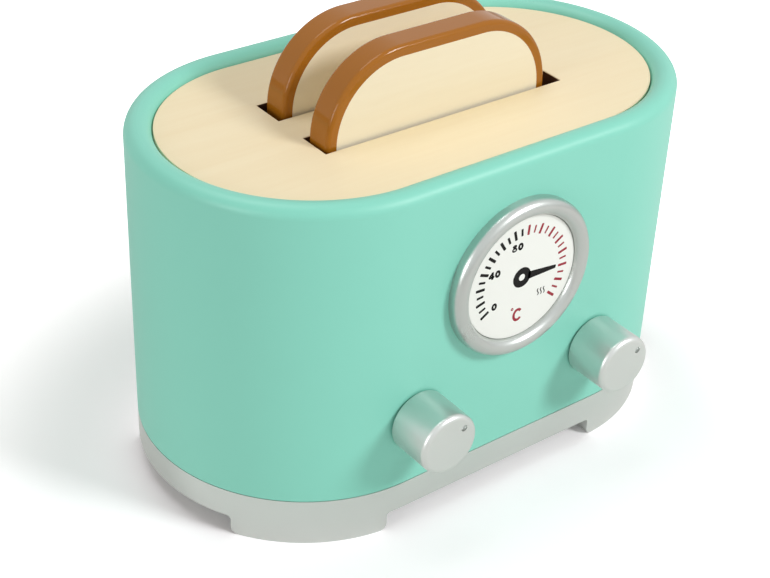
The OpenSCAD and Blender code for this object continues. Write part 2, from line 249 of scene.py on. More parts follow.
def fresh(name, add, **how):
    """Adds a primitive on its own, applies its place and opens it in edit mode."""
    bpy.ops.object.select_all(action="DESELECT")
    add(**how)
    obj = bpy.context.object
    obj.name = name
    bpy.ops.object.transform_apply(location=True, rotation=True, scale=True)
    bpy.ops.object.mode_set(mode="EDIT")
    return obj


def racetrack(name, radius, low, high):
    """A cylinder parted at its middle, so that straight sides join its two round ends."""
    obj = fresh(
        name,
        bpy.ops.mesh.primitive_cylinder_add,
        vertices=body_turns,
        radius=radius,
        depth=high - low,
        location=(0, 0, (low + high) / 2),
        rotation=(0, 0, math.pi / body_turns),
    )
    for side in (-1, 1):
        pick(obj, "VERT", lambda v: v.co.x * side > 0)
        bpy.ops.transform.translate(value=(side * end_x, 0, 0))
    return obj


def end_distance(point):
    """How far out from the racetrack's spine a point lies."""
    along = max(abs(point.x) - end_x, 0)
    return math.hypot(along, point.y)


def ring_edge(radius, z):
    """Tests whether an edge lies on the outline of that radius at height z."""

    def wanted(edge):
        return all(at(v.co.z, z) and at(end_distance(v.co), radius, 0.1 * MM) for v in edge.verts)

    return wanted


def leave_edit():
    bpy.ops.mesh.select_all(action="SELECT")
    bpy.ops.mesh.normals_make_consistent(inside=False)
    bpy.ops.object.mode_set(mode="OBJECT")


def cut_with(obj, cutters):
    """Cuts the cutters out of obj, one exact boolean each, and throws them away."""
    for cutter in cutters:
        take_up(obj)
        cut = obj.modifiers.new("cut", "BOOLEAN")
        cut.operation = "DIFFERENCE"
        cut.solver = "EXACT"
        cut.object = cutter
        bpy.ops.object.modifier_apply(modifier=cut.name)
        bpy.data.objects.remove(cutter)


def block(name, low, high):
    """A box between two corners, out of edit mode."""
    low, high = Vector(low), Vector(high)
    obj = fresh(name, bpy.ops.mesh.primitive_cube_add, size=1, location=(low + high) / 2, scale=high - low)
    bpy.ops.object.mode_set(mode="OBJECT")
    return obj


def peg(name, radius, start, end, sides=64):
    """A cylinder from start to end, out of edit mode."""
    start, end = Vector(start), Vector(end)
    turn = (end - start).to_track_quat("Z", "Y").to_euler()
    obj = fresh(
        name,
        bpy.ops.mesh.primitive_cylinder_add,
        vertices=sides,
        radius=radius,
        depth=(end - start).length,
        location=(start + end) / 2,
        rotation=turn,
    )
    bpy.ops.object.mode_set(mode="OBJECT")
    return obj


def polish(obj, angle=35):
    """Smooth shading that keeps sharp corners sharp and flat faces flat."""
    take_up(obj)
    bpy.ops.object.shade_smooth_by_angle(angle=math.radians(angle))
    weigh = obj.modifiers.new("weigh", "WEIGHTED_NORMAL")
    weigh.keep_sharp = True
    weigh.weight = 100
    bpy.ops.object.modifier_apply(modifier=weigh.name)


def soften(obj, width):
    """Breaks the sharp edges by that width."""
    take_up(obj)
    soft = obj.modifiers.new("soft", "BEVEL")
    soft.width = width
    soft.segments = 2
    soft.limit_method = "ANGLE"
    soft.angle_limit = math.radians(40)
    bpy.ops.object.modifier_apply(modifier=soft.name)


body = racetrack("body", end_r, body_low.z, body_high.z)
pick(body, "FACE", lambda f: f.normal.z > 0.9)
bpy.ops.mesh.inset(thickness=rim_wall)
bpy.ops.mesh.extrude_region_move(TRANSFORM_OT_translate={"value": (0, 0, panel_low.z - body_high.z)})
bpy.ops.mesh.inset(thickness=ledge_w)
pick(body, "FACE", lambda f: f.normal.z < -0.9)
bpy.ops.mesh.inset(thickness=wall_t)
pick(body, "FACE", lambda f: len(f.verts) == body_turns)
bpy.ops.mesh.bridge_edge_loops()
pick(body, "EDGE", ring_edge(end_r, body_high.z))
bpy.ops.mesh.bevel(offset=rim_round, segments=12, affect="EDGES", clamp_overlap=False)
pick(body, "EDGE", ring_edge(end_r - rim_wall, body_high.z))
bpy.ops.mesh.bevel(offset=rim_arris, segments=12, affect="EDGES", clamp_overlap=False)
pick(body, "EDGE", ring_edge(end_r, body_low.z))
bpy.ops.mesh.bevel(offset=seam_chamfer, segments=2, affect="EDGES", clamp_overlap=False)
leave_edit()

arm_low, arm_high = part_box("lever_arm")
arm_gap = 0.5 * MM
lever_travel = next(j for j in frame["joints"] if j["name"] == "lift")["range_m"][1]
bore_gap = 0.1 * MM
past = 5 * MM
cutters = [
    block(
        "slot_cutter",
        (end_x, arm_low.y - arm_gap, arm_low.z - lever_travel - arm_gap),
        (body_high.x + past, arm_high.y + arm_gap, arm_high.z + arm_gap),
    )
]
for side in ("left", "right"):
    shaft_low, shaft_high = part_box(f"knob_{side}_shaft")
    middle = (shaft_low + shaft_high) / 2
    bore_r = (shaft_high.x - shaft_low.x) / 2 + bore_gap
    bore_start = (middle.x, -end_r - MM, middle.z)
    bore_end = (middle.x, -end_r + wall_t + MM, middle.z)
    cutters.append(peg("bore_cutter", bore_r, bore_start, bore_end))
cut_with(body, cutters)
polish(body)


def group_sockets(group, inputs, outputs):
    """Gives a node group its float inputs, with their usual values, and its float outputs."""
    for name, value in inputs.items():
        socket = group.interface.new_socket(name, in_out="INPUT", socket_type="NodeSocketFloat")
        socket.default_value = value
    for name in outputs:
        group.interface.new_socket(name, in_out="OUTPUT", socket_type="NodeSocketFloat")


def paint_skin_group():
    """Sprayed paint on wood: a slow drift of tone, specks, and orange peel over faint sanding waves."""
    group = bpy.data.node_groups.new("paint_skin", "ShaderNodeTree")
    group_sockets(
        group,
        {"Peel Scale": 900, "Drift Scale": 14, "Fleck Scale": 5000, "Fleck Strength": 0},
        ("Tone", "Height"),
    )
    nodes, links = group.nodes, group.links
    given = nodes.new("NodeGroupInput")
    result = nodes.new("NodeGroupOutput")
    where = nodes.new("ShaderNodeTexCoord")
    drift = nodes.new("ShaderNodeTexNoise")
    drift.inputs["Detail"].default_value = 3
    peel = nodes.new("ShaderNodeTexNoise")
    peel.inputs["Detail"].default_value = 2
    waves = nodes.new("ShaderNodeMath")
    waves.operation = "MULTIPLY_ADD"
    waves.inputs[1].default_value = 0.6
    flecks = nodes.new("ShaderNodeTexVoronoi")
    fleck_value = nodes.new("ShaderNodeSeparateColor")
    fleck_shift = nodes.new("ShaderNodeMath")
    fleck_shift.operation = "SUBTRACT"
    fleck_shift.inputs[1].default_value = 0.5
    flecked = nodes.new("ShaderNodeMath")
    flecked.operation = "MULTIPLY_ADD"
    for texture, scale in ((drift, "Drift Scale"), (peel, "Peel Scale"), (flecks, "Fleck Scale")):
        links.new(where.outputs["Object"], texture.inputs["Vector"])
        links.new(given.outputs[scale], texture.inputs["Scale"])
    links.new(drift.outputs["Fac"], waves.inputs[0])
    links.new(peel.outputs["Fac"], waves.inputs[2])
    links.new(flecks.outputs["Color"], fleck_value.inputs[0])
    links.new(fleck_value.outputs[0], fleck_shift.inputs[0])
    links.new(fleck_shift.outputs[0], flecked.inputs[0])
    links.new(given.outputs["Fleck Strength"], flecked.inputs[1])
    links.new(drift.outputs["Fac"], flecked.inputs[2])
    links.new(flecked.outputs[0], result.inputs["Tone"])
    links.new(waves.outputs[0], result.inputs["Height"])
    return group


paint_skin = paint_skin_group()


def painted(name, colour, shade, roughness, peel_scale=900, relief=0.02, flecks=0, **shader_values):
    """A sprayed paint: its two close tones, its range of roughness, and how deep its peel is in mm."""
    material = bpy.data.materials.new(name)
    material.use_nodes = True
    nodes, links = material.node_tree.nodes, material.node_tree.links
    shader = nodes["Principled BSDF"]
    for socket, value in shader_values.items():
        shader.inputs[socket.replace("_", " ").title().replace("Ior", "IOR")].default_value = value
    skin = nodes.new("ShaderNodeGroup")
    skin.node_tree = paint_skin
    skin.inputs["Peel Scale"].default_value = peel_scale
    skin.inputs["Fleck Strength"].default_value = flecks
    tone = nodes.new("ShaderNodeMix")
    tone.data_type = "RGBA"
    tone.inputs["A"].default_value = (*shade, 1)
    tone.inputs["B"].default_value = (*colour, 1)
    gloss = nodes.new("ShaderNodeMapRange")
    gloss.inputs["From Min"].default_value = 0.3
    gloss.inputs["From Max"].default_value = 0.7
    gloss.inputs["To Min"].default_value = roughness[0]
    gloss.inputs["To Max"].default_value = roughness[1]
    bump = nodes.new("ShaderNodeBump")
    bump.inputs["Distance"].default_value = relief * MM
    links.new(skin.outputs["Tone"], tone.inputs["Factor"])
    links.new(tone.outputs["Result"], shader.inputs["Base Color"])
    links.new(skin.outputs["Tone"], gloss.inputs["Value"])
    links.new(gloss.outputs["Result"], shader.inputs["Roughness"])
    links.new(skin.outputs["Height"], bump.inputs["Height"])
    links.new(bump.outputs["Normal"], shader.inputs["Normal"])
    return material


mint_paint = painted(
    "mint_paint", (0.25, 0.685, 0.56), (0.233, 0.66, 0.535), (0.38, 0.48), specular_ior_level=0.5
)


def dress(obj, material):
    """Gives obj that material alone."""
    obj.data.materials.clear()
    obj.data.materials.append(material)


dress(body, mint_paint)
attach(body, "housing")
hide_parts("body_shell")


# ---- Base ----
# A thick board with the body's outline, sprayed silver. Gaps milled into its lower edge leave four
# feet with rounded toes, and a plug on top centres it in the body. Four countersunk screws come up
# through the feet.
base_low, base_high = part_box("base")
plug_gap = 0.1 * MM
foot_gap_h = 7 * MM
foot_gap_deep = 30 * MM
foot_gap_round = 1.4 * MM
foot_toe_round = 2.6 * MM
long_gap = (-48.3 * MM, 41.7 * MM)
end_gap = (-30.1 * MM, 30.1 * MM)
base_edge = 0.45 * MM
head_r = 3.5 * MM
head_gap = 0.1 * MM
head_depth = 2 * MM
weld = 0.002 * MM

silver_paint = painted(
    "silver_paint",
    (0.69, 0.72, 0.70),
    (0.59, 0.62, 0.60),
    (0.29, 0.38),
    peel_scale=1100,
    relief=0.008,
    flecks=0.05,
    metallic=0.85,
)

base = racetrack("base_board", end_r, base_low.z, body_low.z)
pick(base, "FACE", lambda f: f.normal.z > 0.9)
bpy.ops.mesh.inset(thickness=wall_t + plug_gap)
bpy.ops.mesh.extrude_region_move(TRANSFORM_OT_translate={"value": (0, 0, base_high.z - body_low.z)})
leave_edit()


def gap_cutter(low, high):
    """A box with rounded upper corners that flares out below, so that it rounds the feet's toes too."""
    cutter = block("gap_cutter", low, high)
    across = 0 if high[0] - low[0] > high[1] - low[1] else 1
    outward = Vector((1, 0, 0)) if across == 0 else Vector((0, 1, 0))
    take_up(cutter)
    bpy.ops.object.mode_set(mode="EDIT")
    pick(
        cutter,
        "EDGE",
        lambda e: all(at(v.co.z, high[2]) for v in e.verts)
        and at(e.verts[0].co[across], e.verts[1].co[across]),
    )
    bpy.ops.mesh.bevel(offset=foot_gap_round, segments=6, affect="EDGES")
    pick(cutter, "FACE", lambda f: f.normal.z < -0.9)
    bpy.ops.mesh.extrude_region_move(TRANSFORM_OT_translate={"value": (0, 0, -past)})
    for side in (-1, 1):
        pick(
            cutter,
            "FACE",
            lambda f: f.normal.dot(outward) * side > 0.9 and f.calc_center_median().z < low[2],
        )
        bpy.ops.mesh.extrude_region_move(TRANSFORM_OT_translate={"value": outward * side * foot_toe_round})
    walls = (low[across], high[across])
    pick(
        cutter,
        "EDGE",
        lambda e: any(all(at(v.co.z, low[2]) and at(v.co[across], wall) for v in e.verts) for wall in walls),
    )
    bpy.ops.mesh.bevel(offset=foot_toe_round, segments=6, affect="EDGES", clamp_overlap=False)
    bpy.ops.mesh.select_all(action="SELECT")
    bpy.ops.mesh.remove_doubles(threshold=weld)
    leave_edit()
    return cutter


toe_z = base_low.z - 0.02 * MM
gap_top = base_low.z + foot_gap_h
end_reach = end_x + end_r
cutters = [
    gap_cutter((long_gap[0], -end_r - past, toe_z), (long_gap[1], -end_r + foot_gap_deep, gap_top)),
    gap_cutter((long_gap[0], end_r - foot_gap_deep, toe_z), (long_gap[1], end_r + past, gap_top)),
    gap_cutter((-end_reach - past, end_gap[0], toe_z), (-end_reach + foot_gap_deep, end_gap[1], gap_top)),
    gap_cutter((end_reach - foot_gap_deep, end_gap[0], toe_z), (end_reach + past, end_gap[1], gap_top)),
]
screws_low, screws_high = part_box("base_screws")
for x in (screws_low.x + head_r, screws_high.x - head_r):
    for y in (screws_low.y + head_r, screws_high.y - head_r):
        top = (x, y, screws_low.z + head_depth)
        cutters.append(peg("screw_cutter", head_r + head_gap, (x, y, -past), top))
cut_with(base, cutters)
soften(base, base_edge)
polish(base)
dress(base, silver_paint)
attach(base, "housing")
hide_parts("base")


# ---- Top panel ----
# A pale birch plywood plate let into the rim, clear coated, with two bread slots cut by laser. Their walls
# are coloured near-black brown, partly as the laser's char and partly as painted shade inside the slots. Its
# grain runs along the toy.
panel_r = (panel_high.y - panel_low.y) / 2
slot_len = 97 * MM
slot_w = 12.8 * MM
panel_edge = 0.35 * MM
slice_boxes = {place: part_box(f"slice_{place}") for place in ("front", "rear")}

panel = racetrack("panel", panel_r, panel_low.z, panel_high.z)
leave_edit()
cutters = []
for low, high in slice_boxes.values():
    y = (low.y + high.y) / 2
    cutters.append(
        block(
            "slot_cutter",
            (-slot_len / 2, y - slot_w / 2, panel_low.z - MM),
            (slot_len / 2, y + slot_w / 2, panel_high.z + MM),
        )
    )
cut_with(panel, cutters)
soften(panel, panel_edge)
polish(panel)


def wood_grain_group():
    """Long grain along X: broad figure, fine streaks and short pores."""
    group = bpy.data.node_groups.new("wood_grain", "ShaderNodeTree")
    group_sockets(
        group,
        {"Figure Scale": 22, "Streak Scale": 260, "Stretch": 0.06},
        ("Figure", "Streak", "Height"),
    )
    nodes, links = group.nodes, group.links
    given = nodes.new("NodeGroupInput")
    result = nodes.new("NodeGroupOutput")
    where = nodes.new("ShaderNodeTexCoord")
    split = nodes.new("ShaderNodeSeparateXYZ")
    along = nodes.new("ShaderNodeMath")
    along.operation = "MULTIPLY"
    stretched = nodes.new("ShaderNodeCombineXYZ")
    figure = nodes.new("ShaderNodeTexNoise")
    figure.inputs["Detail"].default_value = 4
    figure.inputs["Distortion"].default_value = 1.2
    streak = nodes.new("ShaderNodeTexNoise")
    streak.inputs["Detail"].default_value = 5
    streak.inputs["Roughness"].default_value = 0.65
    links.new(where.outputs["Object"], split.inputs[0])
    links.new(split.outputs["X"], along.inputs[0])
    links.new(given.outputs["Stretch"], along.inputs[1])
    links.new(along.outputs[0], stretched.inputs["X"])
    links.new(split.outputs["Y"], stretched.inputs["Y"])
    links.new(split.outputs["Z"], stretched.inputs["Z"])
    for noise, scale in ((figure, "Figure Scale"), (streak, "Streak Scale")):
        links.new(stretched.outputs[0], noise.inputs["Vector"])
        links.new(given.outputs[scale], noise.inputs["Scale"])
    links.new(figure.outputs["Fac"], result.inputs["Figure"])
    links.new(streak.outputs["Fac"], result.inputs["Streak"])
    links.new(streak.outputs["Fac"], result.inputs["Height"])
    return group


wood_grain = wood_grain_group()


def grained(name, pale, deep, contrast, roughness, stretch=0.06, figure_scale=60):
    """Clear-coated wood: pale and deep tones, mixed by broad figure and fine streaks."""
    material = bpy.data.materials.new(name)
    material.use_nodes = True
    nodes, links = material.node_tree.nodes, material.node_tree.links
    shader = nodes["Principled BSDF"]
    shader.inputs["Specular IOR Level"].default_value = 0.35
    grain = nodes.new("ShaderNodeGroup")
    grain.node_tree = wood_grain
    grain.inputs["Stretch"].default_value = stretch
    grain.inputs["Figure Scale"].default_value = figure_scale
    grain.inputs["Streak Scale"].default_value = 500
    mixed = nodes.new("ShaderNodeMath")
    mixed.operation = "MULTIPLY_ADD"
    mixed.inputs[1].default_value = 0.5
    fade = nodes.new("ShaderNodeMapRange")
    fade.inputs["From Min"].default_value = 0.55
    fade.inputs["From Max"].default_value = 0.95
    fade.inputs["To Min"].default_value = 0.5 - contrast / 2
    fade.inputs["To Max"].default_value = 0.5 + contrast / 2
    tone = nodes.new("ShaderNodeMix")
    tone.data_type = "RGBA"
    tone.inputs["A"].default_value = (*pale, 1)
    tone.inputs["B"].default_value = (*deep, 1)
    gloss = nodes.new("ShaderNodeMapRange")
    gloss.inputs["To Min"].default_value = roughness[0]
    gloss.inputs["To Max"].default_value = roughness[1]
    bump = nodes.new("ShaderNodeBump")
    bump.inputs["Distance"].default_value = 0.03 * MM
    links.new(grain.outputs["Streak"], mixed.inputs[0])
    links.new(grain.outputs["Figure"], mixed.inputs[2])
    links.new(mixed.outputs[0], fade.inputs["Value"])
    links.new(fade.outputs["Result"], tone.inputs["Factor"])
    links.new(tone.outputs["Result"], shader.inputs["Base Color"])
    links.new(grain.outputs["Streak"], gloss.inputs["Value"])
    links.new(gloss.outputs["Result"], shader.inputs["Roughness"])
    links.new(grain.outputs["Height"], bump.inputs["Height"])
    links.new(bump.outputs["Normal"], shader.inputs["Normal"])
    return material


birch = grained("birch_plywood", (0.93, 0.825, 0.58), (0.88, 0.745, 0.49), 0.45, (0.4, 0.55))
dress(panel, birch)
# Near-black brown for the slot walls: partly laser char, partly painted shade inside the slots
slot_char_and_shade = grained("char_and_painted_shade", (0.10, 0.042, 0.018), (0.05, 0.02, 0.01), 1.0, (0.5, 0.7))
panel.data.materials.append(slot_char_and_shade)
take_up(panel)
bpy.ops.object.mode_set(mode="EDIT")
pick(
    panel,
    "FACE",
    lambda f: abs(f.normal.z) < 0.2
    and abs(f.calc_center_median().x) < slot_len / 2 + 0.1 * MM
    and abs(f.calc_center_median().y) < slice_boxes["rear"][1].y + slot_w,
)
panel.active_material_index = 1
bpy.ops.object.material_slot_assign()
bpy.ops.object.mode_set(mode="OBJECT")
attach(panel, "housing")
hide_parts("top_panel")


# ---- Slices of toast ----
# Each is sawn from a board to a loaf outline, its edges rounded over, and dipped in glossy brown paint
# as the crust. The two faces are left pale inside the painted border.
crown_r = 28.6 * MM
heel_r = 6 * MM
slice_arris = 1.5 * MM
crust_border = 3.6 * MM

crust_paint = painted(
    "crust_paint",
    (0.40, 0.147, 0.010),
    (0.34, 0.117, 0.008),
    (0.07, 0.11),
    relief=0.006,
    specular_ior_level=0.26,
)
crumb = grained(
    "bare_crumb", (0.90, 0.82, 0.64), (0.85, 0.75, 0.55), 0.5, (0.45, 0.6), stretch=0.1, figure_scale=45
)


def bake_slice(place):
    low, high = slice_boxes[place]
    obj = fresh(
        f"toast_{place}", bpy.ops.mesh.primitive_cube_add, size=1, location=(low + high) / 2, scale=high - low
    )
    for z, radius, segments in ((high.z, crown_r, 28), (low.z, heel_r, 10)):
        pick(
            obj,
            "EDGE",
            lambda e: all(at(v.co.z, z) for v in e.verts) and at(e.verts[0].co.x, e.verts[1].co.x),
        )
        bpy.ops.mesh.bevel(offset=radius, segments=segments, affect="EDGES", clamp_overlap=False)
    pick(obj, "FACE", lambda f: abs(f.normal.y) > 0.99)
    bpy.ops.mesh.region_to_loop()
    bpy.ops.mesh.bevel(offset=slice_arris, segments=6, affect="EDGES", clamp_overlap=False)
    pick(obj, "FACE", lambda f: abs(f.normal.y) > 0.999 and len(f.verts) > 20)
    bpy.ops.mesh.inset(thickness=crust_border - slice_arris)
    dress(obj, crust_paint)
    obj.data.materials.append(crumb)
    obj.active_material_index = 1
    bpy.ops.object.material_slot_assign()
    leave_edit()
    polish(obj)
    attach(obj, f"slice_{place}")
    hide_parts(f"slice_{place}")


for place in slice_boxes:
    bake_slice(place)


# ---- Gauge ring and dial ----
# A turned ring with a half-round face, painted silver, is glued to the front. A thin white disc
# sits inside it and carries the printed scale.
ring_low, ring_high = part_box("gauge_bezel")
dial_low, dial_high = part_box("gauge_dial")
gauge = (ring_low + ring_high) / 2
ring_r = (ring_high.x - ring_low.x) / 2
ring_w = 5.8 * MM
ring_h = ring_high.y - ring_low.y
ring_crown = ring_w / 2 - 0.02 * MM

ring = fresh("gauge_ring", bpy.ops.mesh.primitive_plane_add, size=1)
bpy.ops.transform.resize(value=(ring_w, ring_h, 1))
bpy.ops.transform.translate(value=(ring_r - ring_w / 2, gauge.y, gauge.z))
pick(ring, "VERT", lambda v: at(v.co.y, ring_low.y))
bpy.ops.mesh.bevel(offset=ring_crown, segments=10, affect="VERTICES", clamp_overlap=False)
bpy.ops.mesh.select_mode(type="FACE")
bpy.ops.mesh.select_all(action="SELECT")
bpy.ops.mesh.delete(type="ONLY_FACE")
bpy.ops.mesh.select_mode(type="VERT")
bpy.ops.mesh.select_all(action="SELECT")
bpy.ops.mesh.spin(steps=144, angle=2 * math.pi, center=(0, gauge.y, gauge.z), axis=(0, 1, 0))
bpy.ops.mesh.select_all(action="SELECT")
bpy.ops.mesh.remove_doubles(threshold=weld)
leave_edit()
polish(ring)
# The ring's silver is a darker copy of the knobs' silver: painted shade and reflection standing in for the
# dark surroundings mirrored in the metal
shaded_ring_silver = painted(
    "shaded_ring_silver",
    (0.57, 0.60, 0.58),
    (0.48, 0.51, 0.49),
    (0.27, 0.35),
    peel_scale=1100,
    relief=0.01,
    flecks=0.05,
    metallic=0.9,
)
dress(ring, shaded_ring_silver)
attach(ring, "housing")
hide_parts("gauge_bezel")

dial_r = (dial_high.x - dial_low.x) / 2
dial_face = dial_low.y
dial_edge = 0.2 * MM
dial = peg("dial_disc", dial_r, (0, dial_high.y, gauge.z), (0, dial_face, gauge.z), sides=128)
soften(dial, dial_edge)
polish(dial)
dial_white = painted("dial_white", (0.87, 0.895, 0.86), (0.84, 0.87, 0.83), (0.35, 0.45), relief=0.006)
dress(dial, dial_white)
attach(dial, "housing")
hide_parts("gauge_dial")


# ---- Printed scale and pointer ----
# Screen printed on the disc: 29 marks from lower left round to lower right, the first 14 black and
# the rest red, three numbers, a degree sign with C, three little waves of heat, and a flat pointer.
print_t = 0.05 * MM
first_mark = math.radians(212.2)
last_mark = math.radians(-39.3)
marks = 29
black_marks = 14
long_mark = {"inner": 15.6 * MM, "outer": 19.3 * MM, "black_w": 1.05 * MM, "red_w": 0.95 * MM}
short_mark = {"inner": 16.0 * MM, "outer": 18.75 * MM, "black_w": 0.85 * MM, "red_w": 0.68 * MM}

ink = {"relief": 0.004, "specular_ior_level": 0.12}
black_ink = painted("black_ink", (0.010, 0.009, 0.009), (0.006, 0.006, 0.006), (0.45, 0.55), **ink)
red_ink = painted("red_ink", (0.36, 0.035, 0.055), (0.31, 0.028, 0.045), (0.45, 0.55), **ink)


def on_dial(radius, angle):
    """A point on the dial's face, at a radius and an angle from the right."""
    return Vector((radius * math.cos(angle), dial_face, gauge.z + radius * math.sin(angle)))


def join(name, pieces):
    """Makes one piece of several."""
    bpy.ops.object.select_all(action="DESELECT")
    for piece in pieces:
        piece.select_set(True)
    bpy.context.view_layer.objects.active = pieces[0]
    bpy.ops.object.join()
    joined = bpy.context.object
    joined.name = name
    bpy.ops.object.transform_apply(location=True, rotation=True, scale=True)
    return joined


def printed(obj, ink):
    dress(obj, ink)
    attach(obj, "housing")


def stroke(inner, outer, angle, width, tip_width=None):
    """A flat printed bar on the dial, from one radius to another."""
    obj = fresh(
        "stroke",
        bpy.ops.mesh.primitive_cube_add,
        size=1,
        location=((inner + outer) / 2, 0, 0),
        scale=(outer - inner, print_t, width),
    )
    if tip_width:
        pick(obj, "VERT", lambda v: v.co.x > (inner + outer) / 2)
        bpy.ops.transform.resize(value=(1, 1, tip_width / width), center_override=(0, 0, 0))
    pick(obj, "EDGE", lambda e: at(e.verts[0].co.x, e.verts[1].co.x) and at(e.verts[0].co.z, e.verts[1].co.z))
    bpy.ops.mesh.bevel(offset=(tip_width or width) * 0.25, segments=3, affect="EDGES")
    leave_edit()
    obj.matrix_world = Matrix.Translation((0, dial_face, gauge.z)) @ Matrix.Rotation(-angle, 4, "Y")
    take_up(obj)
    bpy.ops.object.transform_apply(location=True, rotation=True, scale=True)
    return obj


black_strokes, red_strokes = [], []
for i in range(marks):
    angle = first_mark + (last_mark - first_mark) * i / (marks - 1)
    mark = short_mark if i % 2 else long_mark
    if i < black_marks:
        black_strokes.append(stroke(mark["inner"], mark["outer"], angle, mark["black_w"]))
    else:
        red_strokes.append(stroke(mark["inner"], mark["outer"], angle, mark["red_w"]))
printed(join("scale_black", black_strokes), black_ink)
printed(join("scale_red", red_strokes), red_ink)


def oval(x, z, width, height, line, gap_half_angle=0):
    """A printed oval outline round [x, z] on the dial, open at its right where a gap is wanted."""
    obj = fresh("oval", bpy.ops.mesh.primitive_circle_add, vertices=48, radius=0.5, fill_type="NGON")
    bpy.ops.transform.resize(value=(width, height, 1))
    bpy.ops.mesh.inset(thickness=line)
    pick(obj, "FACE", lambda f: len(f.verts) > 4)
    bpy.ops.mesh.delete(type="FACE")
    if gap_half_angle:
        pick(
            obj,
            "FACE",
            lambda f: abs(math.atan2(f.calc_center_median().y, f.calc_center_median().x)) < gap_half_angle,
        )
        bpy.ops.mesh.delete(type="FACE")
    return raise_print(obj, x, z)


def raise_print(obj, x, z):
    """Thickens a flat shape drawn in X and Y, and sets it upright on the dial with its origin at [x, z]."""
    bpy.ops.mesh.select_all(action="SELECT")
    bpy.ops.mesh.extrude_region_move(TRANSFORM_OT_translate={"value": (0, 0, print_t / 2)})
    leave_edit()
    obj.matrix_world = Matrix.Translation((x, dial_face, gauge.z + z)) @ Matrix.Rotation(math.pi / 2, 4, "X")
    take_up(obj)
    bpy.ops.object.transform_apply(location=True, rotation=True, scale=True)
    return obj


def line_on_dial(x0, z0, x1, z1, width):
    """A straight printed line between two points of the dial, measured from its middle."""
    length = math.hypot(x1 - x0, z1 - z0)
    obj = fresh("line", bpy.ops.mesh.primitive_cube_add, size=1, scale=(length, print_t, width))
    leave_edit()
    slope = math.atan2(z1 - z0, x1 - x0)
    middle = ((x0 + x1) / 2, dial_face, gauge.z + (z0 + z1) / 2)
    obj.matrix_world = Matrix.Translation(middle) @ Matrix.Rotation(-slope, 4, "Y")
    take_up(obj)
    bpy.ops.object.transform_apply(location=True, rotation=True, scale=True)
    return obj


figure_w = 2.25 * MM
figure_h = 2.75 * MM
figure_line = 0.84 * MM


def figure(digit, x, z):
    """The printed lines of one plain digit with its middle at [x, z]."""
    if digit == "0":
        return [oval(x, z, figure_w, figure_h, figure_line)]
    if digit == "8":
        upper, lower = 0.46 * figure_h, 0.60 * figure_h
        return [
            oval(x, z + (figure_h - upper) / 2, 0.80 * figure_w, upper, 0.70 * figure_line),
            oval(x, z - (figure_h - lower) / 2, 0.96 * figure_w, lower, 0.70 * figure_line),
        ]
    stem = x + 0.16 * figure_w
    bar = z - 0.18 * figure_h
    low, high = z - figure_h / 2, z + figure_h / 2
    left = x - figure_w / 2
    return [
        line_on_dial(stem, low, stem, high, figure_line),
        line_on_dial(left, bar, x + figure_w / 2, bar, 0.85 * figure_line),
        line_on_dial(left + 0.1 * MM, bar, stem, high - 0.15 * MM, 0.85 * figure_line),
    ]


def number(name, digits, radius, angle):
    """A number on the dial, its middle at that radius and angle."""
    middle = on_dial(radius, math.radians(angle))
    pitch = figure_w + 0.25 * MM
    start = middle.x - pitch * (len(digits) - 1) / 2
    lines = []
    for i, digit in enumerate(digits):
        lines += figure(digit, start + i * pitch, middle.z - gauge.z)
    printed(join(name, lines), black_ink)


number("number_0", "0", 13.2 * MM, 214)
number("number_40", "40", 12.9 * MM, 157)
number("number_80", "80", 12.6 * MM, 104)

unit_c = oval(-0.5 * MM, -14.2 * MM, 4.2 * MM, 5.0 * MM, 1.0 * MM, math.radians(48))
unit_degree = oval(-3.0 * MM, -11.3 * MM, 1.1 * MM, 1.1 * MM, 0.34 * MM)
printed(join("unit_print", [unit_c, unit_degree]), red_ink)

wave_h = 2.6 * MM
wave_w = 0.42 * MM
wave_steps = 14
wave_sway = 0.26 * MM
wave_pitch = 1.3 * MM
first_wave = (7.7 * MM, -8.3 * MM)


def heat_wave(x, z):
    """One thin upright wave of the sign for heat."""
    obj = fresh("wave", bpy.ops.mesh.primitive_cube_add, size=1, scale=(wave_w, print_t, wave_h))
    pick(obj, "EDGE", lambda e: not at(e.verts[0].co.z, e.verts[1].co.z))
    bpy.ops.mesh.subdivide(number_cuts=wave_steps - 1)
    for step in range(wave_steps + 1):
        level = wave_h * (step / wave_steps - 0.5)
        pick(obj, "VERT", lambda v: at(v.co.z, level))
        bpy.ops.transform.translate(value=(wave_sway * math.sin(2 * math.pi * step / wave_steps), 0, 0))
    bpy.ops.mesh.select_all(action="SELECT")
    bpy.ops.transform.translate(value=(x, dial_face, gauge.z + z))
    leave_edit()
    return obj


waves = [heat_wave(first_wave[0] + wave_pitch * i, first_wave[1]) for i in range(3)]
printed(join("heat_sign", waves), black_ink)

hub_r = 3.7 * MM
hub_hole = 1.25 * MM
needle_reach = (2.6 * MM, 14.6 * MM)
needle_angle = math.radians(-3)
needle_w = 2.9 * MM
needle_tip_w = 1.3 * MM
dial_middle = on_dial(0, 0)
half_print = Vector((0, print_t / 2, 0))
through = Vector((0, MM, 0))
hub = peg("hub", hub_r, dial_middle + half_print, dial_middle - half_print)
cut_with(hub, [peg("hub_cutter", hub_hole, dial_middle + through, dial_middle - through)])
needle = stroke(*needle_reach, needle_angle, needle_w, needle_tip_w)
printed(join("pointer_print", [hub, needle]), black_ink)


# ---- Knobs ----
# Turned from wood on a lathe and sprayed silver, with a rounded front edge and a small drilled
# dimple that shows how far the knob is turned. Each is glued to a dowel that runs in the front wall.
knob_round = 1.8 * MM
knob_back_edge = 0.4 * MM
dimple_at = 7.0 * MM
dimple_angle = math.radians(43)
dimple_r = 1.3 * MM
dimple_sink = 0.5 * MM


